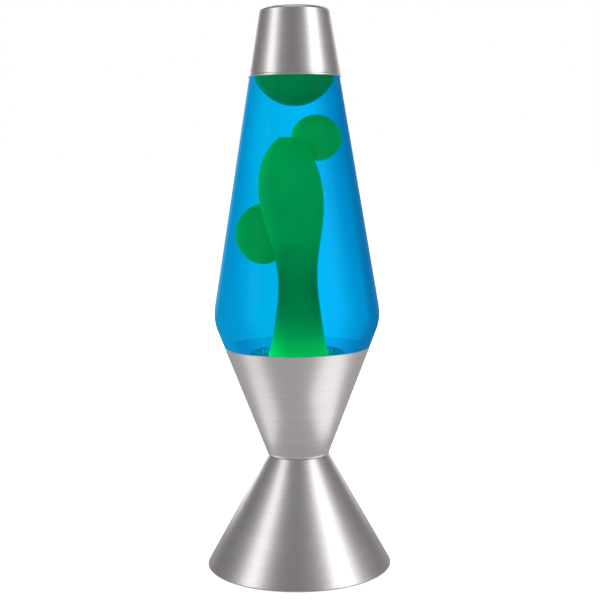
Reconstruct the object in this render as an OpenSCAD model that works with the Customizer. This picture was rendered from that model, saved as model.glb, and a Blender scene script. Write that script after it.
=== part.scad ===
// Lava lamp: two spun aluminium cones stand waist to waist as the base, with a
// lamp bulb inside them. A sealed glass bottle of liquid and wax stands in the
// upper cone, and a spun cap slips over the bottle's neck.
// The frame is +Z up, with the origin on the floor under the lamp's axis. The
// front faces -Y and the cord leaves at the rear, towards +Y. Sizes are in mm.

/* [Base cones] */
// Outer radius of the lower cone at the foot of its hem
hem_r = 72.7; // [71:0.1:74]
// Height of the hem's underside above the floor
hem_z = 1; // [0.8:0.1:1.2]
// Outer radius of both cones at the waist
waist_r = 23.8; // [23.5:0.1:25]
// Height of the seam between the two cones
waist_z = 89.25; // [88.5:0.25:90]
// Outer radius of the upper cone's rim
rim_r = 56.7; // [56:0.1:57.5]
// Height of the upper cone's rim
rim_z = 174; // [173:0.5:175]
// Thickness of the spun aluminium
sheet = 1; // [0.8:0.1:1.2]

/* [Bottle] */
// Height of the bottle's underside
bottle_z = 158; // [157:0.5:159]
// Wall thickness of the bottle
glass_t = 3.2; // [2.8:0.1:3.4]
// Radius that rounds the bottle's widest part
belly_round = 30; // [25:1:35]
// Outer radius of the bottle at the cap's lower edge
throat_r = 34.4; // [34:0.1:35]
// Loss of radius for each millimetre of height on the bottle's upper cone
taper = 0.166; // [0.16:0.002:0.17]
// Height of the bottle's sealing lip
lip_z = 420; // [418:0.5:422]

/* [Cap] */
// Height of the cap's lower edge
cap_z = 380.5; // [379:0.5:382]
// Radius of the cap's top corner before it is rounded
cap_top_r = 26.8; // [26:0.1:28]
// Overall height of the lamp
total_h = 432; // [430:0.5:434]

/* [Bulb] */
// Height of the bulb's tip contact
bulb_z = 55; // [54.5:0.1:55.5]
// Radius of the bulb's round envelope
bulb_r = 24; // [22:0.5:24]
// Outer radius of the bulb's screw cap
screw_r = 13.15; // [13:0.05:13.2]
// Pitch of the bulb's thread
screw_pitch = 3.63; // [3.5:0.01:3.7]

/* [Cord inlet] */
// Bore radius of the rubber grommet
inlet_r = 3.3; // [2.5:0.1:3.5]
// Height of the grommet's centre on the cone's outer face
inlet_z = 15; // [14:0.5:18]

/* [Wax] */
// Radius of the upper blob, seen from the front
upper_blob_r = 17.5; // [15:0.5:17.5]
// Radius of the lower blob, seen from the front
lower_blob_r = 20.5; // [17:0.5:20.5]

/* [Hidden] */

$fn = 96;
gap = 0.3;                  // room between pieces that lift apart
film = 0.15;                // room between the liquid and what it touches

lower_slope = (hem_r - waist_r) / (waist_z - hem_z);
upper_slope = (rim_r - waist_r) / (rim_z - waist_z);
lower_lean = atan(lower_slope);
upper_lean = atan(upper_slope);
taper_lean = atan(taper);
throat_hole_r = 18.7;       // hole in both waist flanges for the socket's collar
collar_r = 18.3;
collar_top = waist_z + 6.2;
socket_bore_r = 13.95;
shell_z = bulb_z + 2;       // underside of the socket's screw shell
shell_top = bulb_z + 28;
cover_z = 2.2;
cover_t = 2;
cover_r = hem_r - 3.3;
tab_z = cover_z + cover_t + 0.1;
tab_angles = [30, 150, 270];
tab_r = 62;                 // circle of the cover screws
foot_angles = [45, 135, 225, 315];
foot_circle = 58;
foot_stem_r = 2.5;
bulb_centre_z = bulb_z + 86.5 - bulb_r;
neck_angle = -35;           // where the bulb's neck runs into its round envelope
neck_in_cap_r = 11.8;
bulb_wall = 0.7;
ledge_z = rim_z + gap;
floor_z = bottle_z + 4.5;
coil_r = 33;
coil_turn_r = 3.2;
coil_wire_r = 0.6;
coil_turns = 40;
coil_z = floor_z + coil_turn_r + coil_wire_r + 0.4;
fill_z = 393;               // level of the liquid, hidden under the cap
pool_centre_z = 391.4;
pool_r = 32.55;
pool_edge_z = 381;          // where the pool's bowl meets the glass
neck_r = 12.2;
crown_r = 16;
upper_blob_at = [16.5, 9.5, 334.5];
lower_blob_at = [-26, 15, 261];
upper_blob_depth = 10.5;
lower_blob_depth = 10.5;

// Sections of the wax column from its foot up: height, centre x, centre y,
// half-width and half-depth
column_sections = [
    [162.8, 1, 0, 25.5, 25.5], [170, 1, 0, 22.6, 22.6], [182, 1.2, -0.5, 20, 20],
    [200, 1.3, -1.5, 17.2, 16.6], [224, 1.2, -3.5, 14.5, 13.4],
    [244, 0.2, -6, 16.4, 13.6], [265, -1, -8.5, 21.3, 15],
    [282, -2.6, -10, 24.7, 16.4], [295, -3.9, -10.5, 25.2, 16.8],
    [310, -5, -10.5, 23.2, 15.6], [322, -5.8, -10, 18.6, 12.8],
    [331, -6, -9.5, 10.8, 7.6], [335.4, -6, -9.5, 0.5, 0.5]
];

function xy(p) = [p.x, p.y];
function unit(v) = v / norm(v);
function wave(turns, step) = 0.5 + 0.5 * cos(360 * turns * step);

// Arc that rounds the corner at p of the path from a to b
function corner_arc(a, p, b, r, n) =
    let (u = unit(a - p), v = unit(b - p), half = acos(u * v) / 2)
    let (c = p + unit(u + v) * r / sin(half), s = p + u * r / tan(half) - c)
    let (start = atan2(s.y, s.x), turn = sign(cross(p - a, b - p)) * (180 - 2 * half))
    [for (i = [0:n]) c + r * [cos(start + turn * i / n), sin(start + turn * i / n)]];

// Path through points [x, y] or [x, y, corner radius]
function round_path(pts, n = 6) = let (m = len(pts)) [
    for (i = [0:m - 1])
        each len(pts[i]) < 3 ? [pts[i]]
            : corner_arc(xy(pts[(i + m - 1) % m]), xy(pts[i]), xy(pts[(i + 1) % m]), pts[i][2], n)
];

// Arc about the axis at height z
function bowl(z, r, a0, a1, n) =
    [for (i = [0:n]) let (a = a0 + (a1 - a0) * i / n) [max(0, r * cos(a)), z + r * sin(a)]];

function lower_r(z) = waist_r + lower_slope * (waist_z - z);
function upper_r(z) = waist_r + upper_slope * (z - waist_z);
function upper_in_r(z) = upper_r(z) - sheet / cos(upper_lean);
function seat_r(z) = upper_in_r(z) - gap;
// The bottle's two cones, set in by a depth square to the glass
function belly_r(z, depth) = upper_r(z) - 0.2 - depth / cos(upper_lean);
function throat_cone_r(z, depth) = throat_r + taper * (cap_z - z) - depth / cos(taper_lean);
function belly_z(depth) =
    (throat_cone_r(0, depth) - belly_r(0, depth)) / (upper_slope + taper);

function spline(a, b, c, d, t) =
    b + 0.5 * t * (c - a + t * (2 * a - 5 * b + 4 * c - d + t * (3 * (b - c) + d - a)));
function smooth_sections(s, steps) = let (n = len(s) - 1) [
    for (i = [0:n - 1], k = [0:steps - 1])
        spline(s[max(0, i - 1)], s[i], s[i + 1], s[min(n, i + 2)], k / steps),
    s[n]
];

module spun(path) {
    rotate_extrude() polygon(path);
}

module round_ring(outer, inner, z, h) {
    translate([0, 0, z]) difference() {
        cylinder(r = outer, h = h);
        translate([0, 0, -1]) cylinder(r = inner, h = h + 2);
    }
}

// Rings of points joined into one closed skin
module skin(rings) {
    n = len(rings[0]);
    m = len(rings);
    polyhedron(
        points = [for (ring = rings) each ring],
        faces = [
            for (i = [0:m - 2], j = [0:n - 1])
                [i * n + j, (i + 1) * n + j, (i + 1) * n + (j + 1) % n, i * n + (j + 1) % n],
            [for (j = [0:n - 1]) j],
            [for (j = [0:n - 1]) m * n - 1 - j]
        ],
        convexity = 6);
}

module at_inlet(depth) {
    translate([0, lower_r(inlet_z), inlet_z])
        rotate([lower_lean - 90, 0, 0])
            translate([0, 0, depth]) children();
}

// ---- base ----

module lower_cone() {
    inner = sheet / cos(lower_lean);
    flange_z = waist_z - sheet - 0.05;
    color("silver") difference() {
        union() {
            spun(concat(
                round_path([
                    [hem_r - 2.6, hem_z + 1.9], [hem_r - 2.6, hem_z, 0.8], [hem_r, hem_z, 0.9],
                    [waist_r, waist_z - 0.05, 0.5], [throat_hole_r, waist_z - 0.05]
                ]),
                round_path([
                    [throat_hole_r, flange_z], [lower_r(flange_z) - inner, flange_z, 0.4],
                    [lower_r(hem_z + 3) - inner, hem_z + 3]
                ])
            ));
            for (a = tab_angles) rotate([0, 0, a])
                translate([tab_r - 5, -5, tab_z]) cube([lower_r(tab_z + 1) - tab_r + 4.4, 10, 1]);
        }
        for (a = tab_angles) rotate([0, 0, a])
            translate([tab_r, 0, tab_z - 1]) cylinder(r = 1.55, h = 3);
        at_inlet(-4) cylinder(r = inlet_r + 1.75, h = 8);
    }
}

module upper_cone() {
    flange_top = waist_z + sheet + 0.05;
    color("silver") spun(concat(
        [[throat_hole_r, waist_z + 0.05]],
        round_path([
            [waist_r - 1, waist_z + 0.05], [waist_r + 0.35, waist_z + 0.05, 0.4],
            [upper_r(waist_z + 1.5), waist_z + 1.5, 0.8], [rim_r, rim_z, 0.4],
            [upper_in_r(rim_z), rim_z, 0.4], [upper_in_r(flange_top), flange_top, 0.5],
            [throat_hole_r, flange_top]
        ])
    ));
}

module waist_washer() {
    color("dimgray") round_ring(22, throat_hole_r, waist_z + sheet + 0.15, 0.8);
}

module lamp_socket() {
    foot_z = bulb_z - 8;
    seat_z = waist_z - sheet - 0.15;
    color("saddlebrown") difference() {
        spun(concat(
            round_path([
                [0, foot_z], [17, foot_z, 1.5], [20.3, foot_z + 5, 3], [20.3, seat_z - 3.5, 0.5],
                [21.6, seat_z - 3, 0.5], [21.6, seat_z, 0.4], [collar_r, seat_z],
                [collar_r, collar_top, 0.4], [collar_r - 1, collar_top, 0.4],
                [collar_r - 1, bulb_z + 30, 0.4], [socket_bore_r, bulb_z + 30],
                [socket_bore_r, bulb_z - 3], [0, bulb_z - 3]
            ], 4)
        ));
        translate([0, 0, foot_z - 1]) cylinder(r = 1.6, h = 10);
        for (x = [-9, 9]) translate([x, 0, foot_z - 1]) cylinder(r = 1.6, h = 4.5);
    }
}

module socket_ring_nut() {
    nut_z = waist_z + sheet + 1.05;
    color("peru") difference() {
        round_ring(21.8, collar_r + 0.05, nut_z, collar_top - nut_z);
        for (a = [0:60:300]) rotate([0, 0, a])
            translate([20.8, -1.5, nut_z - 1]) cube([3, 3, collar_top]);
    }
}

// Rounded thread ridges between two heights, as a path up the outer face
function thread_path(r, depth, z0, z1) =
    let (turns = floor((z1 - z0) / screw_pitch), n = turns * 8)
    [for (i = [0:n]) [r - depth * wave(turns, i / n), z0 + turns * screw_pitch * i / n]];

module socket_screw_shell() {
    ridges = thread_path(screw_r + 0.75, 0.55, shell_z + 0.5, shell_top);
    last = ridges[len(ridges) - 1].y;
    color("goldenrod") spun(concat(
        [[socket_bore_r - 0.05, shell_z], [socket_bore_r - 0.05, last + 0.5],
         [screw_r + 0.2, last + 0.5]],
        [for (i = [len(ridges) - 1:-1:0]) ridges[i]],
        [[screw_r + 0.2, shell_z]]
    ));
}

module socket_centre_contact() {
    color("goldenrod") union() {
        translate([0, 0, bulb_z - 2.9]) cylinder(r = 4, h = 1.2);
        translate([0, 0, bulb_z - 1.8]) cylinder(r = 2.5, h = 1.5);
        translate([0, 0, bulb_z - 9.5]) cylinder(r = 1.5, h = 7);
    }
}

module socket_terminal_screws() {
    foot_z = bulb_z - 8;
    color("goldenrod") for (x = [-9, 9]) translate([x, 0, 0]) {
        difference() {
            translate([0, 0, foot_z - 2.4]) cylinder(r = 3, h = 2.3);
            translate([-4, -0.4, foot_z - 3]) cube([8, 0.8, 1.5]);
        }
        translate([0, 0, foot_z - 0.2]) cylinder(r = 1.5, h = 3.4);
    }
}

module bottom_cover() {
    color("#222222") difference() {
        union() {
            translate([0, 0, cover_z]) cylinder(r = cover_r, h = cover_t);
            round_ring(50, 48.5, cover_z, cover_t + 2);
            round_ring(22, 20.5, cover_z, cover_t + 2);
        }
        for (a = tab_angles) rotate([0, 0, a])
            translate([tab_r, 0, 0]) cylinder(r = 1.7, h = 9);
        for (a = foot_angles) rotate([0, 0, a])
            translate([foot_circle, 0, 0]) cylinder(r = foot_stem_r + 0.05, h = 9);
        for (a = [0:20:340]) rotate([0, 0, a]) translate([28, -1.5, 0]) cube([16, 3, 9]);
        for (a = [0:60:300]) rotate([0, 0, a]) translate([12, 0, 0]) cylinder(r = 2.5, h = 9);
    }
}

module cover_screws() {
    color("gainsboro") for (a = tab_angles) rotate([0, 0, a]) translate([tab_r, 0, 0]) {
        difference() {
            translate([0, 0, cover_z - 1.4]) cylinder(r = 2.9, h = 1.35);
            translate([-0.4, -1.8, cover_z - 2]) cube([0.8, 3.6, 1.3]);
            translate([-1.8, -0.4, cover_z - 2]) cube([3.6, 0.8, 1.3]);
        }
        translate([0, 0, cover_z - 0.1]) cylinder(r = 1.5, h = 7);
    }
}

module rubber_foot(i) {
    color("#1c1c1c") rotate([0, 0, foot_angles[i - 1]]) translate([foot_circle, 0, 0])
        spun(round_path([
            [0, 0], [6, 0, 0.6], [6.5, cover_z - 0.05, 0.4], [foot_stem_r, cover_z - 0.05],
            [foot_stem_r, cover_z + cover_t + 0.05], [3.2, cover_z + cover_t + 0.05],
            [3.2, cover_z + cover_t + 1, 0.3], [1.6, cover_z + cover_t + 3, 0.5],
            [0, cover_z + cover_t + 3]
        ], 4));
}
module rubber_foot_1() rubber_foot(1);
module rubber_foot_2() rubber_foot(2);
module rubber_foot_3() rubber_foot(3);
module rubber_foot_4() rubber_foot(4);

// The flanges stand a little off the sheet, which curves away under them
module cord_grommet() {
    color("#1c1c1c") at_inlet(0) spun(round_path([
        [inlet_r, -sheet - 2.6], [inlet_r + 3.4, -sheet - 2.6, 0.6],
        [inlet_r + 3.8, -sheet - 0.5, 0.3], [inlet_r + 1.65, -sheet - 0.5],
        [inlet_r + 1.65, 0.15], [inlet_r + 3.8, 0.15, 0.3], [inlet_r + 3.2, 2.4, 0.8],
        [inlet_r, 2.4]
    ], 4));
}

// ---- bulb ----

// Outline of the bulb's envelope, set in by a depth square to the glass
function envelope(depth, z0) =
    let (r = bulb_r - depth, touch = r * [cos(neck_angle), sin(neck_angle)])
    let (bend = touch.y - (touch.x - neck_in_cap_r + depth) / tan(-neck_angle))
    concat(
        round_path([
            [neck_in_cap_r - depth, z0], [neck_in_cap_r - depth, bulb_centre_z + bend, 14],
            [touch.x, bulb_centre_z + touch.y]
        ]),
        bowl(bulb_centre_z, r, neck_angle + 5, 90, 24)
    );

module bulb_glass() {
    shell_in = envelope(bulb_wall, bulb_z + 15);
    color("white", 0.4) spun(concat(
        envelope(0, bulb_z + 15), [for (i = [len(shell_in) - 1:-1:0]) shell_in[i]]));
}

module bulb_screw_cap() {
    ridges = thread_path(screw_r, 0.7, bulb_z + 5.5, bulb_z + 24.5);
    last = ridges[len(ridges) - 1].y;
    color("lightgray") spun(concat(
        [[9.6, bulb_z + 3.4], [10.2, bulb_z + 3]], ridges,
        [[screw_r - 0.4, last + 1.5], [12, last + 1.5], [12, bulb_z + 6]]
    ));
}

module bulb_insulator() {
    color("#202028") spun(round_path([
        [4.8, bulb_z + 1.4], [5.6, bulb_z + 1.2, 0.4], [9.4, bulb_z + 3.3], [9.4, bulb_z + 4.6],
        [4.8, bulb_z + 4.6]
    ], 4));
}

module bulb_tip_contact() {
    color("lightgray") spun(round_path([
        [0, bulb_z], [3.4, bulb_z, 1], [4.4, bulb_z + 1.4, 0.6], [4.4, bulb_z + 4.6],
        [0, bulb_z + 4.6]
    ], 4));
}

module bulb_stem() {
    color("white", 0.5) spun(round_path([
        [0, bulb_z + 12], [8.5, bulb_z + 12, 0.6], [4, bulb_z + 18, 6], [3, bulb_z + 36, 4],
        [1.6, bulb_z + 45, 1], [0, bulb_z + 46]
    ], 4));
}

wire_foot = [3.6, bulb_z + 42];
wire_top = [9, bulb_centre_z + 3];

module bulb_support_wires() {
    reach = wire_top - wire_foot;
    filament_gap = 0.9; // each wire ends this far before the filament's centre line
    color("gray") for (s = [-1, 1]) {
        translate([s * wire_foot.x, 0, wire_foot.y]) rotate([0, s * atan2(reach.x, reach.y), 0])
            cylinder(r = 0.3, h = norm(reach) - filament_gap, $fn = 24);
        translate([s * (wire_foot.x - 0.9), 0, wire_foot.y]) rotate([0, 90 * s, 0])
            cylinder(r = 0.3, h = 1.1, $fn = 24);
    }
}

module bulb_filament() {
    color("darkslategray")
        translate([0, 0, wire_top.y - 0.6]) rotate([90, 0, 0]) rotate_extrude(angle = 180)
            translate([wire_top.x - 0.2, 0]) circle(r = 0.55, $fn = 24);
}

// ---- bottle ----

// The inside of the glass from its floor's centre up to a height on its taper
function inside_path(depth, top) = round_path([
    [0, floor_z + depth], [belly_r(floor_z, glass_t + depth), floor_z + depth, 6 - depth],
    [belly_r(belly_z(glass_t + depth), glass_t + depth), belly_z(glass_t + depth),
     belly_round - glass_t - depth],
    [throat_cone_r(top, glass_t + depth), top]
], 8);

module glass_bottle() {
    well = inside_path(0, 396);
    mouth = round_path([
        [throat_cone_r(397, glass_t), 397], [throat_cone_r(401, glass_t) - 1.5, 401, 4],
        [8.6, 407, 3], [8.6, lip_z - 1]
    ]);
    inside = concat(well, mouth);
    color("deepskyblue", 0.35) spun(concat(
        round_path([
            [0, bottle_z + 2], [34, bottle_z + 2, 3], [37.5, bottle_z, 1.5],
            [seat_r(bottle_z), bottle_z, 7], [seat_r(ledge_z), ledge_z],
            [belly_r(ledge_z, 0), ledge_z, 0.25], [belly_r(belly_z(0), 0), belly_z(0), belly_round],
            [throat_cone_r(402, 0), 402, 8], [neck_r, 409.5, 4], [neck_r, lip_z - 6, 0.5],
            [neck_r + 1.1, lip_z - 5, 0.8], [neck_r + 1.1, lip_z - 1, 1], [10.4, lip_z, 0.6],
            [8.6, lip_z, 0.4], [8.6, lip_z - 1]
        ], 8),
        [for (i = [len(inside) - 2:-1:0]) inside[i]]
    ));
}

module crown_cap() {
    top = lip_z + 1.2;
    color("gold") spun(round_path([
        [0, top - 0.3], [neck_r + 1.2, top - 0.3, 1.4], [crown_r - 0.3, lip_z - 5],
        [crown_r, lip_z - 5], [neck_r + 1.8, top, 1.8], [0, top]
    ]));
}

module crown_liner() {
    color("ivory") translate([0, 0, lip_z + 0.1]) cylinder(r = 12, h = 0.7);
}

module column(grow, sides) {
    skin([for (s = smooth_sections(column_sections, 2))
        [for (j = [0:sides - 1]) let (a = 360 * j / sides)
            [s[1] + (s[3] + grow) * cos(a), s[2] + (s[4] + grow) * sin(a),
             s[0] + (s[0] > 335 ? grow : 0)]]]);
}

// A blob is flattened from front to back, and round when seen from the front
module blob(at, r, depth, grow) {
    translate(at) rotate([90, 0, 0])
        spun([for (a = [-90:7.5:90]) [(r + grow) * cos(a), (depth + grow) * sin(a)]]);
}

module liquid() {
    edge_z = pool_edge_z - 0.2;
    edge = asin((edge_z - pool_centre_z) / (pool_r + film));
    color("dodgerblue", 0.5) difference() {
        spun(concat(
            inside_path(film, edge_z),
            bowl(pool_centre_z, pool_r + film, edge, -90, 12)
        ));
        column(gap, 32);
        blob(upper_blob_at, upper_blob_r, upper_blob_depth, gap);
        blob(lower_blob_at, lower_blob_r, lower_blob_depth, gap);
        rotate_extrude() translate([coil_r, coil_z])
            circle(r = coil_turn_r + coil_wire_r + film, $fn = 32);
    }
}

module coil_spring() {
    steps = coil_turns * 8;
    points_on_wire = [
        for (i = [0:steps - 1]) let (a = 360 * i / steps, b = 360 * i / 8)
            [(coil_r + coil_turn_r * cos(b)) * cos(a), (coil_r + coil_turn_r * cos(b)) * sin(a),
             coil_z + coil_turn_r * sin(b)]
    ];
    sides = 5;
    color("lightgray") polyhedron(
        points = [
            for (i = [0:steps - 1])
                let (a = 360 * i / steps, b = 360 * i / 8)
                let (out = [cos(b) * cos(a), cos(b) * sin(a), sin(b)])
                let (along = unit(points_on_wire[(i + 1) % steps]
                                  - points_on_wire[(i + steps - 1) % steps]))
                let (side = cross(along, out))
                for (j = [0:sides - 1]) let (c = 360 * j / sides)
                    points_on_wire[i] + coil_wire_r * (cos(c) * out + sin(c) * side)
        ],
        faces = [
            for (i = [0:steps - 1], j = [0:sides - 1])
                let (k = (i + 1) % steps, l = (j + 1) % sides)
                each [[i * sides + j, k * sides + j, k * sides + l],
                      [i * sides + j, k * sides + l, i * sides + l]]
        ],
        convexity = 10);
}

module wax_column() {
    color("mediumseagreen") column(0, 32);
}

module wax_top_pool() {
    rise = asin((pool_edge_z - pool_centre_z) / pool_r);
    color("seagreen") spun(concat(
        bowl(pool_centre_z, pool_r, -90, rise, 12),
        [[throat_cone_r(fill_z, glass_t + film + 0.1), fill_z], [0, fill_z]]
    ));
}

module wax_blob_upper() {
    color("mediumseagreen") blob(upper_blob_at, upper_blob_r, upper_blob_depth, 0);
}

module wax_blob_lower() {
    color("mediumseagreen") blob(lower_blob_at, lower_blob_r, lower_blob_depth, 0);
}

// ---- cap ----

module top_cap() {
    skirt_r = throat_r + 1.1;
    color("silver") spun(round_path([
        [skirt_r - 0.7, cap_z], [skirt_r + 0.25, cap_z, 0.3], [skirt_r + 0.25, cap_z + 1.2, 0.3],
        [skirt_r - 0.15, cap_z + 1.8, 0.6], [cap_top_r, total_h, 3.2], [0, total_h],
        [0, total_h - 0.9], [cap_top_r - 0.8, total_h - 0.9, 2.4]
    ]));
}

lower_cone();
upper_cone();
waist_washer();
lamp_socket();
socket_ring_nut();
socket_screw_shell();
socket_centre_contact();
socket_terminal_screws();
bottom_cover();
cover_screws();
rubber_foot_1();
rubber_foot_2();
rubber_foot_3();
rubber_foot_4();
cord_grommet();
bulb_glass();
bulb_screw_cap();
bulb_insulator();
bulb_tip_contact();
bulb_stem();
bulb_support_wires();
bulb_filament();
glass_bottle();
crown_cap();
crown_liner();
liquid();
coil_spring();
wax_column();
wax_top_pool();
wax_blob_upper();
wax_blob_lower();
top_cap();
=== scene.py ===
import math

import bmesh
import bpy
from mathutils import Matrix, Vector


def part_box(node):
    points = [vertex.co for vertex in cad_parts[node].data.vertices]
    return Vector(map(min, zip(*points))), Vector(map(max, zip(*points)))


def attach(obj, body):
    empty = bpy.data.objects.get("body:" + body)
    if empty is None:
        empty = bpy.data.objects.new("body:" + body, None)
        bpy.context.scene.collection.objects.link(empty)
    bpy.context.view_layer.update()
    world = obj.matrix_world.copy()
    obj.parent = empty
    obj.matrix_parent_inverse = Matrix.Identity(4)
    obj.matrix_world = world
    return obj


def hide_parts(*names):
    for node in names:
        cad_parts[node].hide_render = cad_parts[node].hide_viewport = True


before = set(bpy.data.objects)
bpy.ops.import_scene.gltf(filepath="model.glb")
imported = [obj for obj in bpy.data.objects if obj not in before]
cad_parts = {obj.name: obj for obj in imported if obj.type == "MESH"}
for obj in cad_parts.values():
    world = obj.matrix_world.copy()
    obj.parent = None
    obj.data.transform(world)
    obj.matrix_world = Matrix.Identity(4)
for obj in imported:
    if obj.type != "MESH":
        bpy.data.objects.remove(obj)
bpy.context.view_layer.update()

MM = 0.001

# ---- driving sizes, in millimetres ----

RIM_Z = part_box("upper_cone")[1].z / MM
WAIST_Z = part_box("upper_cone")[0].z / MM - 0.05
TOP_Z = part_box("top_cap")[1].z / MM
CAP_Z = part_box("top_cap")[0].z / MM
BOTTLE_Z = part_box("glass_bottle")[0].z / MM
LIP_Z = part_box("glass_bottle")[1].z / MM
BULB_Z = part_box("bulb_tip_contact")[0].z / MM

SHEET = 1.0             # thickness of the spun aluminium
HEM_R, HEM_Z = 72.7, 1.0
WAIST_R = 23.8
RIM_R = 56.7
FLANGE_HOLE_R = 18.7
GLASS = 3.2
BOTTLE_FLOOR_Z = BOTTLE_Z + 4.5
SEAT_GAP = 0.3          # between the bottle and the base's upper cone
THROAT_R = 34.4         # outer radius of the bottle at the cap's lower edge
TAPER = 0.166
NECK_R, LIP_R, MOUTH_R = 12.2, 13.3, 8.6
CAP_TOP_R = 26.8
CAP_SHEET = 0.9
BULB_R = 24.0
BULB_NECK_R = 11.8
BULB_GLASS_T = 0.7
BULB_MIDDLE_Z = BULB_Z + 86.5 - BULB_R
SCREW_R = 13.15
SCREW_PITCH = 3.63
POOL_Z, POOL_R = 391.4, 32.55       # centre and radius of the pool's round underside
FILL_Z = 393.0
POOL_EDGE_Z = 381.0     # where the pool's bowl meets the glass

LOWER_SLOPE = (HEM_R - WAIST_R) / (WAIST_Z - HEM_Z)
UPPER_SLOPE = (RIM_R - WAIST_R) / (RIM_Z - WAIST_Z)
UPPER_LEAN = math.atan(UPPER_SLOPE)
LOWER_LEAN = math.atan(LOWER_SLOPE)
TAPER_LEAN = math.atan(TAPER)

# Sections of the wax column: height, centre x, centre y, half-width, half-depth
COLUMN = [
    (163, 1, 0, 25.5, 25.2), (170, 1, 0, 22.6, 22.4), (182, 1.2, -0.5, 20, 19.8),
    (200, 1.3, -1.5, 17.2, 16.4), (224, 1.2, -3.5, 14.5, 13.4),
    (244, 0.2, -6, 16.4, 13.6), (265, -1, -8.5, 21.3, 15),
    (282, -2.6, -10, 24.7, 16.4), (295, -3.9, -10.5, 25.2, 16.8),
    (310, -5, -10.5, 23.2, 15.6), (322, -5.8, -10, 18.6, 12.8),
    (331, -6, -9.5, 10.8, 7.6),
]


def lower_r(z):
    return WAIST_R + LOWER_SLOPE * (WAIST_Z - z)


def upper_r(z):
    return WAIST_R + UPPER_SLOPE * (z - WAIST_Z)


def belly_r(z, depth):
    """Radius of the bottle's lower cone, set in by a depth square to the glass."""
    return upper_r(z) - 0.2 - depth / math.cos(UPPER_LEAN)


def throat_r(z, depth):
    """Radius of the bottle's upper cone, set in by a depth square to the glass."""
    return THROAT_R + TAPER * (CAP_Z - z) - depth / math.cos(TAPER_LEAN)


def belly_z(depth):
    """Height at which the bottle's two cones would meet."""
    return (throat_r(0, depth) - belly_r(0, depth)) / (UPPER_SLOPE + TAPER)


# ---- camera ----

CAMERA_AT = (0.0025, -0.9614, 0.3185)
LENS = 74.84
LOOK_DOWN, LEAN = 6.44, 0.57        # degrees


def add_camera():
    data = bpy.data.cameras.new("camera")
    camera = bpy.data.objects.new("camera", data)
    bpy.context.scene.collection.objects.link(camera)
    data.sensor_width = 36
    data.lens = LENS
    data.clip_end = 50
    camera.matrix_world = (
        Matrix.Translation(CAMERA_AT)
        @ Matrix.Rotation(math.radians(90 - LOOK_DOWN), 4, "X")
        @ Matrix.Rotation(math.radians(-LEAN), 4, "Z")
    )
    bpy.context.scene.camera = camera


add_camera()

# ---- materials ----


def add_node(tree, kind, inputs=None, **settings):
    node = tree.nodes.new("ShaderNode" + kind)
    for key, value in settings.items():
        setattr(node, key, value)
    for key, value in (inputs or {}).items():
        if isinstance(value, bpy.types.NodeSocket):
            tree.links.new(value, node.inputs[key])
        else:
            node.inputs[key].default_value = value
    return node


def new_material(name):
    """An empty material, with its tree and its output node."""
    material = bpy.data.materials.new(name)
    material.use_nodes = True
    tree = material.node_tree
    tree.nodes.clear()
    return material, tree, add_node(tree, "OutputMaterial")


def object_coords(tree, scale=(1, 1, 1)):
    coords = add_node(tree, "TexCoord").outputs["Object"]
    return add_node(tree, "Mapping", {"Vector": coords, "Scale": scale}).outputs[0]


def maths(tree, operation, a, b=0.0, c=0.0):
    return add_node(tree, "Math", {0: a, 1: b, 2: c}, operation=operation).outputs[0]


def ramp(tree, factor, *stops):
    """Colour ramp through (position, colour) stops."""
    node = add_node(tree, "ValToRGB", {"Fac": factor})
    elements = node.color_ramp.elements
    while len(elements) < len(stops):
        elements.new(0.5)
    for element, (position, colour) in zip(elements, stops):
        element.position = position
        element.color = colour
    return node.outputs["Color"]


def spread(tree, value, low, high):
    """A 0-1 value spread between two limits."""
    return add_node(
        tree, "MapRange", {"Value": value, "To Min": low, "To Max": high}
    ).outputs["Result"]


def noise(tree, vector, scale, detail=3.0, roughness=0.5):
    return add_node(
        tree, "TexNoise",
        {"Vector": vector, "Scale": scale, "Detail": detail, "Roughness": roughness},
    ).outputs["Fac"]


def bump(tree, height, distance, strength=1.0):
    return add_node(
        tree, "Bump", {"Height": height, "Distance": distance, "Strength": strength}
    ).outputs["Normal"]


def from_axis(tree, x, y):
    """A point's distance from the lamp's axis."""
    return maths(tree, "SQRT", maths(tree, "ADD", maths(tree, "MULTIPLY", x, x),
                                     maths(tree, "MULTIPLY", y, y)))


ROUND_THE_WALL, ALONG_THE_WALL = 14.0, 1500.0       # lathe lines a metre, each way


def spun_aluminium(name, along):
    """Aluminium spun on a lathe. Its fine lines run round the axis, and along is
    +1 or -1: which way the radius changes as the wall climbs."""
    material, tree, out = new_material(name)
    x, y, z = add_node(tree, "SeparateXYZ", {0: object_coords(tree)}).outputs
    run = maths(tree, "MULTIPLY_ADD", from_axis(tree, x, y), along, z)
    lines = add_node(tree, "CombineXYZ", {
        "X": maths(tree, "MULTIPLY", x, ROUND_THE_WALL),
        "Y": maths(tree, "MULTIPLY", y, ROUND_THE_WALL),
        "Z": maths(tree, "MULTIPLY", run, ALONG_THE_WALL),
    }).outputs[0]
    fine = noise(tree, lines, 1.0, 4.0, 0.65)
    broad = noise(tree, lines, 0.13, 2.0)
    patina = noise(tree, object_coords(tree), 26.0, 3.0)
    streaks = maths(tree, "MULTIPLY_ADD", fine, 0.7, maths(tree, "MULTIPLY", broad, 0.3))
    colour = ramp(tree, streaks, (0.3, (0.65, 0.63, 0.625, 1)),
                  (0.52, (0.72, 0.70, 0.695, 1)), (0.75, (0.79, 0.775, 0.77, 1)))
    shiny = add_node(tree, "BsdfPrincipled", {
        "Base Color": colour,
        "Metallic": 1.0,
        "Roughness": maths(tree, "ADD", spread(tree, fine, 0.27, 0.33),
                           spread(tree, patina, -0.02, 0.02)),
        "Anisotropic": 0.7,
        "Normal": bump(tree, fine, 0.000004, 0.25),
    })
    tree.links.new(shiny.outputs[0], out.inputs["Surface"])
    return material


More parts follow.
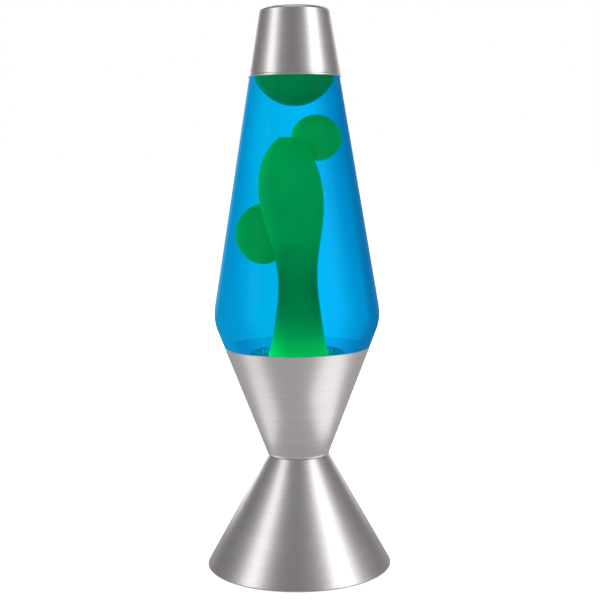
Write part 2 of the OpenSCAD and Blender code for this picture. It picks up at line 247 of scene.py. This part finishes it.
def sideways(tree):
    """How far to the side a point lies: 0 at the left of the lamp, 1 at the right."""
    place = add_node(tree, "SeparateXYZ", {0: object_coords(tree)}).outputs
    radius = from_axis(tree, place["X"], place["Y"])
    side = maths(tree, "DIVIDE", place["X"], maths(tree, "MAXIMUM", radius, 0.001))
    return maths(tree, "MULTIPLY_ADD", side, 0.5, 0.5)


# How far a wall has to turn from view for its painted edge colour to start, and to be full
PAINTED_EDGE_STARTS, PAINTED_EDGE_FULL = 0.46, 0.6


def clear_glass(name, tint, mirror, edges=None):
    """Thin clear glass: what is behind it shows through, with the lamps mirrored.
    edges are the liquid's colours, left and right, painted as glowing light where the wall is seen
    edge on, standing in for what the deep glass of the wall would show, the right one darker as
    painted shade; above the liquid the wall's painted edge is a pale grey."""
    material, tree, out = new_material(name)
    ripples = noise(tree, object_coords(tree, (60, 60, 14)), 1.0, 2.0)
    normal = bump(tree, ripples, 0.0004, 0.25)
    edge = add_node(tree, "Fresnel", {"IOR": 1.45, "Normal": normal}).outputs[0]
    gloss = add_node(tree, "BsdfPrincipled", {
        "Base Color": ramp(tree, ripples, (0.3, (0.93, 0.97, 1, 1)), (0.7, (1, 1, 1, 1))),
        "Metallic": 1.0, "Roughness": 0.03, "Normal": normal,
    })
    clear = add_node(tree, "BsdfTransparent", {"Color": tint})
    back = add_node(tree, "NewGeometry").outputs["Backfacing"]
    front = maths(tree, "SUBTRACT", 1.0, back)
    amount = maths(tree, "MULTIPLY", maths(tree, "MULTIPLY", edge, mirror), front)
    through = clear
    if edges:
        # the wall seen edge on is painted: an emission in the liquid's blues, darker on the right
        # as painted shade, and pale grey above the liquid as a painted reflection
        facing = add_node(tree, "LayerWeight", {"Blend": 0.5}).outputs["Facing"]
        painted_edge_mask = add_node(tree, "MapRange", {
            "Value": facing, "From Min": PAINTED_EDGE_STARTS, "From Max": PAINTED_EDGE_FULL}).outputs["Result"]
        painted_edge_glow = add_node(tree, "Emission", {
            "Color": ramp(tree, sideways(tree), (0.0, edges[0]), (1.0, edges[1]))})
        height = add_node(tree, "SeparateXYZ", {0: object_coords(tree)}).outputs["Z"]
        filled = maths(tree, "LESS_THAN", height, FILL_Z * MM)
        pale = ramp(tree, ripples, (0.3, (0.42, 0.49, 0.52, 1)), (0.7, (0.5, 0.56, 0.58, 1)))
        painted_grey_edge = add_node(tree, "Emission", {"Color": pale})
        wall = add_node(tree, "MixShader", {0: filled, 1: painted_grey_edge.outputs[0], 2: painted_edge_glow.outputs[0]})
        through = add_node(tree, "MixShader", {
            0: maths(tree, "MULTIPLY", painted_edge_mask, front), 1: clear.outputs[0], 2: wall.outputs[0]})
    mix = add_node(tree, "MixShader", {0: amount, 1: through.outputs[0], 2: gloss.outputs[0]})
    tree.links.new(mix.outputs[0], out.inputs["Surface"])
    return material


def dyed_liquid_with_painted_glow(name, lit=1.0):
    """Clear blue liquid. Its far wall glows with painted light, by lit, standing in for the bulb's
    light from below, with painted shade in that glow.
    """
    material, tree, out = new_material(name)
    swirl = noise(tree, object_coords(tree, (9, 9, 5)), 1.0, 2.0)
    height = add_node(tree, "SeparateXYZ", {0: object_coords(tree)}).outputs["Z"]
    low = add_node(tree, "MapRange", {
        "Value": height, "From Min": RIM_Z * MM, "From Max": 0.33,
        "To Min": -0.1, "To Max": 0.0}).outputs["Result"]
    # painted shade: the far wall's glow is brightest just right of the middle, darker at both
    # edges and darkest on the right, and these bands shift to the right lower down
    painted_shade_across = maths(tree, "ADD", sideways(tree), spread(tree, swirl, -0.04, 0.04))
    painted_shade_across = maths(tree, "ADD", painted_shade_across, low)
    colour = ramp(tree, painted_shade_across, (0.0, (0.0, 0.30, 0.50, 1)), (0.12, (0.0, 0.47, 0.64, 1)),
                  (0.35, (0.0, 0.50, 0.68, 1)), (0.58, (0.0, 0.56, 0.80, 1)),
                  (0.7, (0.0, 0.50, 0.75, 1)), (0.82, (0.0, 0.30, 0.52, 1)),
                  (1.0, (0.0, 0.12, 0.27, 1)))
    far = add_node(tree, "NewGeometry").outputs["Backfacing"]
    # the far wall lets little through and shows the painted glow instead
    behind = (0.002, 0.02, 0.04, 1) if lit else (1, 1, 1, 1)
    glass = add_node(tree, "BsdfPrincipled", {
        "Base Color": ramp(tree, far, (0.0, (0.0, 0.49, 0.90, 1)), (1.0, behind)),
        "Roughness": 0.0, "IOR": 1.001,
        "Transmission Weight": 1.0, "Specular IOR Level": 0.0,
        "Emission Color": colour, "Emission Strength": maths(tree, "MULTIPLY", far, lit),
    })
    lamp_side = add_node(tree, "BsdfTransparent", {"Color": (0.25, 0.72, 0.92, 1)})
    path = add_node(tree, "LightPath")
    mix = add_node(tree, "MixShader", {
        0: path.outputs["Is Shadow Ray"], 1: glass.outputs[0], 2: lamp_side.outputs[0]})
    tree.links.new(mix.outputs[0], out.inputs["Surface"])
    return material


WAX_PAINTED_GLOW = 2.0          # strength of the painted glow that stands for the bulb's light inside the wax


def molten_wax(name, stops):
    """Soft green wax with a painted glow that changes with height, standing for the bulb's light
    inside it, and stronger where the wax faces left, painted light. stops are (height in mm,
    painted glow colour)."""
    material, tree, out = new_material(name)
    place = add_node(tree, "SeparateXYZ", {0: object_coords(tree)})
    low, high = stops[0][0] * MM, stops[-1][0] * MM
    height = add_node(tree, "MapRange", {
        "Value": place.outputs["Z"], "From Min": low, "From Max": high}).outputs["Result"]
    cloud = noise(tree, object_coords(tree), 30.0, 2.0)
    height = maths(tree, "ADD", height, spread(tree, cloud, -0.03, 0.03))
    glow = ramp(tree, height, *[
        ((z * MM - low) / (high - low), colour) for z, colour in stops])
    # painted light: the glow is strongest where the wax faces left, a little stronger where it
    # faces right, weakest in between
    normal = add_node(tree, "SeparateXYZ", {0: add_node(tree, "TexCoord").outputs["Normal"]})
    around = maths(tree, "MULTIPLY_ADD", normal.outputs["X"], 0.5, 0.5)
    lit = ramp(tree, around, (0.0, (1.0, 1.0, 1.0, 1)), (0.1, (0.86, 0.86, 0.86, 1)),
               (0.3, (0.56, 0.56, 0.56, 1)), (0.6, (0.5, 0.5, 0.5, 1)), (1.0, (0.6, 0.6, 0.6, 1)))
    body = ramp(tree, cloud, (0.3, (0.011, 0.27, 0.026, 1)), (0.7, (0.016, 0.33, 0.034, 1)))
    wax = add_node(tree, "BsdfPrincipled", {
        "Base Color": body,
        "Roughness": spread(tree, cloud, 0.42, 0.55),
        "Subsurface Weight": 0.25,
        "Subsurface Radius": (0.2, 1.0, 0.3),
        "Subsurface Scale": 0.006,
        "Specular IOR Level": 0.25,
        "Emission Color": glow,
        "Emission Strength": maths(tree, "MULTIPLY", lit, WAX_PAINTED_GLOW),
        "Normal": bump(tree, cloud, 0.0006, 0.2),
    })
    tree.links.new(wax.outputs[0], out.inputs["Surface"])
    return material


def moulded(name, dark, light, grain, gloss, depth=0.00005, metallic=0.0, sheen=0.0):
    """A moulded, cast or plated finish with a fine grain. grain is in grains a metre."""
    material, tree, out = new_material(name)
    speck = noise(tree, object_coords(tree), grain, 4.0, 0.6)
    wide = noise(tree, object_coords(tree), grain * 0.06, 2.0)
    both = maths(tree, "MULTIPLY_ADD", speck, 0.5, maths(tree, "MULTIPLY", wide, 0.5))
    finish = add_node(tree, "BsdfPrincipled", {
        "Base Color": ramp(tree, both, (0.35, dark), (0.65, light)),
        "Roughness": spread(tree, both, gloss - 0.07, gloss + 0.07),
        "Metallic": metallic,
        "Sheen Weight": sheen,
        "Normal": bump(tree, speck, depth, 0.6),
    })
    tree.links.new(finish.outputs[0], out.inputs["Surface"])
    return material


CAP_METAL = spun_aluminium("cap_aluminium", -1.0)
LOWER_METAL = spun_aluminium("lower_cone_aluminium", -1.0)
UPPER_METAL = spun_aluminium("upper_cone_aluminium", 1.0)
# the two blues are painted edge light, the right one darker as painted shade
BOTTLE_GLASS = clear_glass("bottle_glass", (0.985, 0.995, 1, 1), 0.05,
                           ((0.0, 0.29, 0.60, 1), (0.001, 0.165, 0.40, 1)))
BOTTLE_INSIDE = clear_glass("bottle_inside", (0.985, 0.995, 1, 1), 0.0)
BULB_GLASS = clear_glass("bulb_glass", (0.97, 0.98, 0.98, 1), 1.0)
LIQUID = dyed_liquid_with_painted_glow("dyed_liquid_with_painted_glow")
LIQUID_BOWL = dyed_liquid_with_painted_glow("liquid_round_the_pool", 0.0)
# painted glow: bright at the column's foot over the bulb, all but dark at its waist, brighter
# again higher up; the pool brighter towards its top; the blobs even
COLUMN_WAX = molten_wax("column_wax", [
    (163, (0.0, 0.62, 0.055, 1)), (174, (0.0, 0.40, 0.038, 1)), (186, (0.0, 0.17, 0.02, 1)),
    (200, (0.0, 0.05, 0.006, 1)), (214, (0.0, 0.012, 0.002, 1)), (228, (0.0, 0.02, 0.002, 1)),
    (262, (0.0, 0.14, 0.018, 1)), (336, (0.0, 0.18, 0.022, 1)),
])
POOL_WAX = molten_wax("pool_wax", [
    (358, (0.0, 0.07, 0.009, 1)), (FILL_Z, (0.0, 0.13, 0.016, 1))])
BLOB_WAX = molten_wax("blob_wax", [(230, (0.0, 0.19, 0.024, 1)), (360, (0.0, 0.19, 0.024, 1))])
ZINC = moulded("zinc_plate", (0.45, 0.46, 0.48, 1), (0.66, 0.67, 0.69, 1), 900, 0.32,
               metallic=1.0)
BRASS = moulded("brass", (0.55, 0.38, 0.14, 1), (0.76, 0.56, 0.24, 1), 700, 0.3, metallic=1.0)
TINPLATE = moulded("gold_tinplate", (0.62, 0.43, 0.13, 1), (0.8, 0.6, 0.22, 1), 500, 0.24,
                   metallic=1.0)
BULB_METAL = moulded("bulb_cap_metal", (0.62, 0.62, 0.6, 1), (0.8, 0.8, 0.78, 1), 800, 0.26,
                     metallic=1.0)
TUNGSTEN = moulded("tungsten", (0.2, 0.19, 0.18, 1), (0.34, 0.33, 0.32, 1), 4000, 0.45,
                   metallic=1.0)
RUBBER = moulded("black_rubber", (0.012, 0.012, 0.012, 1), (0.028, 0.028, 0.028, 1), 1500, 0.7,
                 sheen=0.1)
PLASTIC = moulded("black_plastic", (0.012, 0.012, 0.013, 1), (0.026, 0.026, 0.028, 1), 1100, 0.5)
PHENOLIC = moulded("phenolic", (0.035, 0.014, 0.008, 1), (0.075, 0.03, 0.018, 1), 600, 0.35)
FIBRE = moulded("fibre", (0.12, 0.05, 0.03, 1), (0.2, 0.09, 0.06, 1), 1300, 0.75)
VITREOUS = moulded("black_vitreous", (0.01, 0.01, 0.014, 1), (0.02, 0.02, 0.03, 1), 500, 0.12)
LINER = moulded("liner", (0.6, 0.57, 0.48, 1), (0.75, 0.72, 0.62, 1), 900, 0.6)

# ---- shapes ----


def finish_piece(bm, name, material, body, replaces=(), sharp=35.0):
    """Turns a bmesh in millimetres into a piece that rides on a body."""
    bmesh.ops.scale(bm, vec=(MM, MM, MM), verts=bm.verts[:])
    bmesh.ops.recalc_face_normals(bm, faces=bm.faces[:])
    mesh = bpy.data.meshes.new(name)
    bm.to_mesh(mesh)
    bm.free()
    mesh.shade_smooth()
    mesh.set_sharp_from_angle(angle=math.radians(sharp))
    mesh.materials.append(material)
    piece = bpy.data.objects.new(name, mesh)
    bpy.context.scene.collection.objects.link(piece)
    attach(piece, body)
    if replaces:
        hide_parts(*replaces)
    return piece


def outline(bm, points, closed):
    """A path of (radius, height) points in the XZ plane. A third number is how far
    from its corner a point's rounding starts, and a fourth its segments."""
    verts = [bm.verts.new((p[0], 0, p[1])) for p in points]
    for a, b in zip(verts, verts[1:]):
        bm.edges.new((a, b))
    if closed:
        bm.edges.new((verts[-1], verts[0]))
    for vert, point in zip(verts, points):
        if len(point) > 2:
            bmesh.ops.bevel(
                bm, geom=[vert], offset=point[2], offset_type="OFFSET", affect="VERTICES",
                segments=point[3] if len(point) > 3 else 4, profile=0.5, material=-1)


def turn(bm, steps):
    """Spins the path about the lamp's axis."""
    bmesh.ops.spin(
        bm, geom=bm.verts[:] + bm.edges[:], cent=(0, 0, 0), axis=(0, 0, 1),
        angle=math.tau, steps=steps, use_merge=True, use_duplicate=False)
    bmesh.ops.remove_doubles(bm, verts=bm.verts[:], dist=0.0005)


def turned(name, points, material, body, replaces=(), steps=144, closed=True, sharp=35.0):
    """A piece turned about the lamp's axis. An outline that starts and ends on the
    axis isn't closed; a ring's is."""
    bm = bmesh.new()
    outline(bm, points, closed)
    turn(bm, steps)
    return finish_piece(bm, name, material, body, replaces, sharp)


def arc(radius, height, start, end, count):
    """Points on a circle about the axis at a height. Angles are in degrees."""
    angles = [math.radians(start + (end - start) * i / count) for i in range(count + 1)]
    return [(max(0.0, radius * math.cos(a)), height + radius * math.sin(a)) for a in angles]


def coiled_wire(name, points, wire_r, roundness, closed, material, body, node):
    """A wire along points in millimetres, closed into a ring or with capped ends."""
    curve = bpy.data.curves.new(name + "_path", "CURVE")
    curve.dimensions = "3D"
    curve.bevel_depth = wire_r * MM
    curve.bevel_resolution = roundness
    curve.use_fill_caps = not closed
    line = curve.splines.new("POLY")
    line.points.add(len(points) - 1)
    for point, place in zip(line.points, points):
        point.co = (*(c * MM for c in place), 1)
    line.use_cyclic_u = closed
    source = bpy.data.objects.new(name + "_path", curve)
    bpy.context.scene.collection.objects.link(source)
    depsgraph = bpy.context.evaluated_depsgraph_get()
    mesh = bpy.data.meshes.new_from_object(source.evaluated_get(depsgraph))
    bpy.data.objects.remove(source)
    mesh.shade_smooth()
    mesh.materials.clear()
    mesh.materials.append(material)
    piece = bpy.data.objects.new(name, mesh)
    bpy.context.scene.collection.objects.link(piece)
    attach(piece, body)
    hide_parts(node)


# ---- base ----

def make_lower_cone():
    wall = SHEET / math.cos(LOWER_LEAN)
    seam = WAIST_Z - 0.05
    flange = seam - SHEET
    turned("lower_cone_shell", [
        (HEM_R - 2.6, HEM_Z + 2.0, 0.4), (HEM_R - 2.6, HEM_Z, 0.8), (HEM_R, HEM_Z, 1.75, 8),
        (lower_r(seam), seam, 0.4), (FLANGE_HOLE_R, seam), (FLANGE_HOLE_R, flange),
        (lower_r(flange) - wall, flange, 0.4), (lower_r(HEM_Z + 3.2) - wall, HEM_Z + 3.2, 0.3),
    ], LOWER_METAL, "base", ["lower_cone"], steps=192)


def make_upper_cone():
    wall = SHEET / math.cos(UPPER_LEAN)
    seam = WAIST_Z + 0.05
    flange = seam + SHEET
    turned("upper_cone_shell", [
        (FLANGE_HOLE_R, seam), (WAIST_R + 0.35, seam, 0.4, 6),
        (upper_r(seam + 1.6), seam + 1.6, 0.7, 6), (RIM_R, RIM_Z, 0.45, 6),
        (upper_r(RIM_Z) - wall, RIM_Z, 0.3), (upper_r(flange) - wall, flange, 0.5),
        (FLANGE_HOLE_R, flange),
    ], UPPER_METAL, "base", ["upper_cone"], steps=192)


# ---- bottle ----

def inside_of_glass(depth, top):
    """Outline of the inside of the glass, from the floor's centre up."""
    floor = BOTTLE_FLOOR_Z + depth
    wall = GLASS + depth
    return [
        (0, floor), (belly_r(floor, wall), floor, 3.5, 8),
        (belly_r(belly_z(wall), wall), belly_z(wall), 7.4, 14), (throat_r(top, wall), top),
    ]


def make_bottle():
    ledge = RIM_Z + 0.3
    in_the_cone = SHEET / math.cos(UPPER_LEAN) + SEAT_GAP
    seat = upper_r(BOTTLE_Z) - in_the_cone
    ledge_in = upper_r(ledge) - in_the_cone
    inside = inside_of_glass(0, 397)
    outside = [
        (0, BOTTLE_Z + 2), (34, BOTTLE_Z + 2, 1.2), (37.5, BOTTLE_Z, 0.6), (seat, BOTTLE_Z, 4, 8),
        (ledge_in, ledge), (belly_r(ledge, 0), ledge, 0.25, 3),
        (belly_r(belly_z(0), 0), belly_z(0), 8.2, 16), (throat_r(402, 0), 402, 5, 8),
        (NECK_R, 409.5, 2.4, 6), (NECK_R, LIP_Z - 6, 0.4), (LIP_R, LIP_Z - 5, 0.5),
        (LIP_R, LIP_Z - 1, 0.7), (11, LIP_Z, 0.4), (MOUTH_R, LIP_Z, 0.4), (MOUTH_R, 407, 2, 6),
        (throat_r(401, GLASS) - 1.5, 401, 2.4, 6),
    ]
    # its inner faces, and all below the rim, mirror no lamps
    bottle = turned("bottle_glass_shell", outside + inside[:0:-1] + [(0, inside[0][1])],
                    BOTTLE_GLASS, "bottle", ["glass_bottle"], steps=192,
                    closed=False)
    bottle.data.materials.append(BOTTLE_INSIDE)
    for face in bottle.data.polygons:
        outward = face.center.x * face.normal.x + face.center.y * face.normal.y
        if outward < 0 or face.center.z < (RIM_Z - 2) * MM:
            face.material_index = 1


def make_liquid():
    gap = 0.15
    top = POOL_EDGE_Z - 0.2
    wall = inside_of_glass(gap, top)
    edge = math.degrees(math.asin((top - POOL_Z) / (POOL_R + gap)))
    bowl = arc(POOL_R + gap, POOL_Z, edge, -90, 20)
    liquid = turned("blue_liquid", wall[:-1] + bowl, LIQUID, "bottle", ["liquid"],
                    steps=192, closed=False, sharp=50)
    # the hollow under the pool has no painted glow
    liquid.data.materials.append(LIQUID_BOWL)
    for face in liquid.data.polygons:
        if face.normal.z > 0.3:
            face.material_index = 1


def make_pool():
    rise = math.degrees(math.asin((POOL_EDGE_Z - POOL_Z) / POOL_R))
    turned("top_pool_of_wax",
           arc(POOL_R, POOL_Z, -90, rise, 20)
           + [(throat_r(FILL_Z, GLASS + 0.25), FILL_Z, 0.8), (0, FILL_Z)],
           POOL_WAX, "bottle", ["wax_top_pool"], steps=128, closed=False, sharp=60)


def make_column():
    """Rings of the column's sections bridged into one skin, then subdivided."""
    bm = bmesh.new()
    rings = []
    for z, x, y, wide, deep in COLUMN:
        place = Matrix.Translation((x, y, z)) @ Matrix.Diagonal((wide, deep, 1, 1))
        made = bmesh.ops.create_circle(bm, segments=32, radius=1, matrix=place)
        rings.append(list({e for v in made["verts"] for e in v.link_edges}))
    for lower, upper in zip(rings, rings[1:]):
        bmesh.ops.bridge_loops(bm, edges=lower + upper)
    foot = bmesh.ops.holes_fill(bm, edges=rings[0], sides=0)["faces"]
    bmesh.ops.inset_region(bm, faces=foot, thickness=2.0)
    crown = bmesh.ops.holes_fill(bm, edges=rings[-1], sides=0)["faces"]
    bmesh.ops.inset_region(bm, faces=crown, thickness=2.6)
    for v in crown[0].verts:
        v.co.z += 3.1
    bmesh.ops.inset_region(bm, faces=crown, thickness=2.4)
    for v in crown[0].verts:
        v.co.z += 1.2
    bmesh.ops.poke(bm, faces=crown)
    piece = finish_piece(bm, "wax_column_skin", COLUMN_WAX, "bottle",
                         ["wax_column"], sharp=70)
    smooth = piece.modifiers.new("smooth", "SUBSURF")
    smooth.levels = smooth.render_levels = 2


def make_blob(name, node, at, half, lean, bulge, body):
    """A drop of wax: a ball flattened from front to back, fuller on one side."""
    bm = bmesh.new()
    bmesh.ops.create_icosphere(bm, subdivisions=5, radius=1)
    for v in bm.verts:
        x, y, z = v.co
        swell = 1 + bulge * (x * z) + 0.03 * math.sin(2.2 * z + 1.3) * (1 - z * z)
        v.co = Vector((x * swell, y * swell, z))
    bmesh.ops.transform(bm, verts=bm.verts[:], matrix=(
        Matrix.Translation(at) @ Matrix.Rotation(math.radians(lean), 4, "Y")
        @ Matrix.Diagonal((*half, 1))))
    finish_piece(bm, name, BLOB_WAX, body, [node], sharp=80)


def make_coil():
    """The steel coil that lies round the foot of the wax."""
    turns, steps = 40, 16
    ring_r, turn_r = 33, 3.2
    middle = BOTTLE_FLOOR_Z + 4.2
    points = []
    for i in range(turns * steps):
        a, b = math.tau * i / (turns * steps), math.tau * i / steps
        out = ring_r + turn_r * math.cos(b)
        points.append((out * math.cos(a), out * math.sin(a), middle + turn_r * math.sin(b)))
    coiled_wire("steel_coil", points, 0.6, 2, True, ZINC, "bottle", "coil_spring")


def make_crown():
    """A bottle cap: a pressed disc whose skirt has twenty-one flutes."""
    flutes, top = 21, LIP_Z + 1.15
    bm = bmesh.new()
    outline(bm, [
        (0, top - 0.3), (12.9, top - 0.3, 0.6), (13.6, LIP_Z - 0.8, 0.4), (15.5, LIP_Z - 4.7),
        (15.75, LIP_Z - 4.85), (15.8, LIP_Z - 4.6), (14, LIP_Z - 0.6, 0.8, 5), (13.2, top, 0.7, 5),
        (10.5, top, 0.6), (9.8, top - 0.1, 0.4), (0, top - 0.1)], False)
    bmesh.ops.subdivide_edges(bm, edges=[e for e in bm.edges if e.calc_length() > 1.2], cuts=3)
    turn(bm, flutes * 8)
    skirt_top, skirt_h, press = LIP_Z - 0.2, 4.0, 0.028
    for v in bm.verts:
        if v.co.z < skirt_top:
            depth = min(1.0, (skirt_top - v.co.z) / skirt_h)
            angle = math.atan2(v.co.y, v.co.x)
            swell = 1 + press * depth * (math.cos(flutes * angle) - 1)
            v.co.x *= swell
            v.co.y *= swell
    finish_piece(bm, "crown_closure", TINPLATE, "bottle", ["crown_cap"], sharp=50)


# ---- bulb ----

def envelope(depth, foot):
    """Outline of the bulb's glass, set in by a depth, from its foot to its crown."""
    r, neck_r = BULB_R - depth, BULB_NECK_R - depth
    slant = math.radians(35)
    touch = (r * math.cos(slant), BULB_MIDDLE_Z - r * math.sin(slant))
    bend = touch[1] - (touch[0] - neck_r) / math.tan(slant)
    return [(neck_r, foot), (neck_r, bend, 4.4, 8), touch] + arc(
        r, BULB_MIDDLE_Z, -30, 90, 24)


def make_bulb_glass():
    foot = BULB_Z + 15
    turned("bulb_envelope", envelope(0, foot) + envelope(BULB_GLASS_T, foot)[::-1],
           BULB_GLASS, "bulb", ["bulb_glass"], steps=96, closed=False)


def ridged(bm, radius, depth, low, high):
    """Presses a right-handed thread into the points that lie on a radius."""
    for v in bm.verts:
        r = math.hypot(v.co.x, v.co.y)
        if abs(r - radius) < 0.02 and low <= v.co.z <= high:
            turns = v.co.z / SCREW_PITCH - math.atan2(v.co.y, v.co.x) / math.tau
            fade = min(1.0, (v.co.z - low) / 1.5, (high - v.co.z) / 1.5)
            swell = 1 - depth * fade * (0.5 + 0.5 * math.cos(math.tau * turns)) / radius
            v.co.x *= swell
            v.co.y *= swell


def make_screw_cap():
    low, high = BULB_Z + 5.5, BULB_Z + 24
    rows = 48
    wall = [(SCREW_R, low + (high - low) * i / rows) for i in range(rows + 1)]
    bm = bmesh.new()
    outline(bm, [(9.6, BULB_Z + 3.4, 0.2), (10.2, BULB_Z + 3, 0.2), (12.3, BULB_Z + 4.9, 0.5)]
            + wall + [(12.7, high + 1.6, 0.2), (12, high + 1.6), (12, BULB_Z + 6)], True)
    turn(bm, 96)
    ridged(bm, SCREW_R, 0.75, low, high)
    finish_piece(bm, "threaded_bulb_cap", BULB_METAL, "bulb", ["bulb_screw_cap"],
                 sharp=50)


def make_filament():
    """A fine coiled wire strung in an arch between the support wires."""
    turns, steps = 34, 8
    arch_r, turn_r = 8.8, 0.4
    foot = BULB_MIDDLE_Z + 2.4
    points = []
    for i in range(turns * steps + 1):
        a, b = math.pi * i / (turns * steps), math.tau * i / steps
        out = arch_r + turn_r * math.cos(b)
        points.append((-out * math.cos(a), turn_r * math.sin(b), foot + out * math.sin(a)))
    coiled_wire("coiled_filament", points, 0.09, 1, False, TUNGSTEN, "bulb",
                "bulb_filament")


# ---- cap ----

def make_cap():
    skirt = THROAT_R + 1.1
    turned("spun_cap", [
        (skirt - 0.65, CAP_Z + 0.1, 0.15), (skirt + 0.25, CAP_Z, 0.25, 5),
        (skirt + 0.25, CAP_Z + 1.1, 0.3, 5), (skirt - 0.15, CAP_Z + 1.8, 0.5, 5),
        (CAP_TOP_R, TOP_Z, 2.8, 12), (0, TOP_Z), (0, TOP_Z - CAP_SHEET),
        (CAP_TOP_R - 0.8, TOP_Z - CAP_SHEET, 2, 8),
    ], CAP_METAL, "cap", ["top_cap"], steps=192)


make_lower_cone()
make_upper_cone()
make_bottle()
make_liquid()
make_pool()
make_column()
make_blob("upper_wax_blob", "wax_blob_upper", (16.5, 9.5, 334.8), (18.9, 10.5, 17.8), 20, 0.05,
          "upper_blob")
make_blob("lower_wax_blob", "wax_blob_lower", (-26, 15, 260.5), (21.1, 10.3, 23.6), 0, -0.02,
          "lower_blob")
make_coil()
make_crown()
make_bulb_glass()
make_screw_cap()
make_filament()
make_cap()

for node, material in {
    "waist_washer": FIBRE, "lamp_socket": PHENOLIC, "socket_ring_nut": PHENOLIC,
    "socket_screw_shell": BRASS, "socket_centre_contact": BRASS,
    "socket_terminal_screws": BRASS, "bottom_cover": PLASTIC, "cover_screws": ZINC,
    "rubber_foot_1": RUBBER, "rubber_foot_2": RUBBER, "rubber_foot_3": RUBBER,
    "rubber_foot_4": RUBBER, "cord_grommet": RUBBER, "bulb_insulator": VITREOUS,
    "bulb_tip_contact": BULB_METAL, "bulb_stem": BULB_GLASS, "bulb_support_wires": ZINC,
    "crown_liner": LINER,
}.items():
    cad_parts[node].data.materials.clear()
    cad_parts[node].data.materials.append(material)

# ---- floor, world and lamps ----

AIM = Vector((0, 0, 0.2))           # the middle of the lamp, in metres


def make_floor():
    bm = bmesh.new()
    bmesh.ops.create_grid(bm, x_segments=8, y_segments=8, size=40)
    mesh = bpy.data.meshes.new("floor")
    bm.to_mesh(mesh)
    bm.free()
    material, tree, out = new_material("pale_floor")
    paper = add_node(tree, "BsdfPrincipled", {
        "Base Color": (0.8, 0.8, 0.8, 1), "Roughness": 0.9, "Specular IOR Level": 0.0})
    glow = add_node(tree, "Emission", {"Color": (1, 1, 1, 1), "Strength": 0.97})
    dim = add_node(tree, "Emission", {"Color": (0.96, 0.92, 0.93, 1), "Strength": 0.46})
    path = add_node(tree, "LightPath")
    lit = add_node(tree, "AddShader", {0: paper.outputs[0], 1: glow.outputs[0]})
    plain = add_node(tree, "Emission", {"Color": (1, 1, 1, 1), "Strength": 1.0})
    near = add_node(tree, "MixShader", {
        0: path.outputs["Is Camera Ray"], 1: dim.outputs[0], 2: lit.outputs[0]})
    mix = add_node(tree, "MixShader", {
        0: path.outputs["Is Transmission Ray"], 1: near.outputs[0], 2: plain.outputs[0]})
    tree.links.new(mix.outputs[0], out.inputs["Surface"])
    mesh.materials.append(material)
    floor = bpy.data.objects.new("floor", mesh)
    bpy.context.scene.collection.objects.link(floor)


def set_world():
    """White behind the lamp, and a dimmer studio for what the metal mirrors."""
    world = bpy.data.worlds.new("studio")
    bpy.context.scene.world = world
    world.use_nodes = True
    tree = world.node_tree
    tree.nodes.clear()
    out = add_node(tree, "OutputWorld")
    white = add_node(tree, "Background", {"Color": (1, 1, 1, 1), "Strength": 1.0})
    room = add_node(tree, "Background", {"Color": (0.98, 0.94, 0.95, 1), "Strength": 0.2})
    path = add_node(tree, "LightPath")
    seen = maths(tree, "MAXIMUM", path.outputs["Is Camera Ray"],
                 path.outputs["Is Transmission Ray"])
    mix = add_node(tree, "MixShader", {0: seen, 1: room.outputs[0], 2: white.outputs[0]})
    tree.links.new(mix.outputs[0], out.inputs["Surface"])


def area_lamp(name, wide, tall, watts):
    """A soft oblong lamp that the camera doesn't see."""
    data = bpy.data.lights.new(name, "AREA")
    data.shape = "RECTANGLE"
    data.size, data.size_y = wide, tall
    data.energy = watts
    lamp = bpy.data.objects.new(name, data)
    bpy.context.scene.collection.objects.link(lamp)
    lamp.visible_camera = False
    lamp.visible_transmission = False
    return lamp


def add_softbox(name, azimuth, elevation, distance, wide, tall, watts):
    """A softbox aimed at the middle of the lamp. Azimuth 0 is in front."""
    a, e = math.radians(azimuth), math.radians(elevation)
    offset = Vector((math.sin(a) * math.cos(e), -math.cos(a) * math.cos(e), math.sin(e)))
    lamp = area_lamp(name, wide, tall, watts)
    lamp.location = AIM + offset * distance
    lamp.rotation_euler = offset.to_track_quat("Z", "Y").to_euler()


def add_floor_strip(name, azimuth, distance, wide, long, watts):
    """A strip lamp lying on the floor, for the walls that lean outwards."""
    a = math.radians(azimuth)
    lamp = area_lamp(name, wide, long, watts)
    lamp.location = (math.sin(a) * distance, -math.cos(a) * distance, 0.004)
    lamp.rotation_euler = (math.pi, 0, a)


make_floor()
set_world()
# Angles in degrees, then distance, width and height in metres, and watts
add_softbox("strip_left", -64, 4, 1.4, 0.5, 2.6, 9.0)
add_softbox("strip_right", 60, 4, 1.4, 0.8, 2.6, 15.0)
add_softbox("softbox_back_left", -160, 12, 1.6, 0.9, 2.2, 17.0)
add_softbox("softbox_back_right", 160, 12, 1.6, 0.9, 2.2, 7.0)
add_softbox("top_light", 0, 82, 1.8, 1.2, 1.2, 3.0)
add_floor_strip("floor_strip_left", -78, 0.34, 0.16, 0.42, 0.14)
add_floor_strip("floor_strip_right", 66, 0.34, 0.22, 0.42, 0.25)
bpy.context.scene.view_settings.view_transform = "Standard"
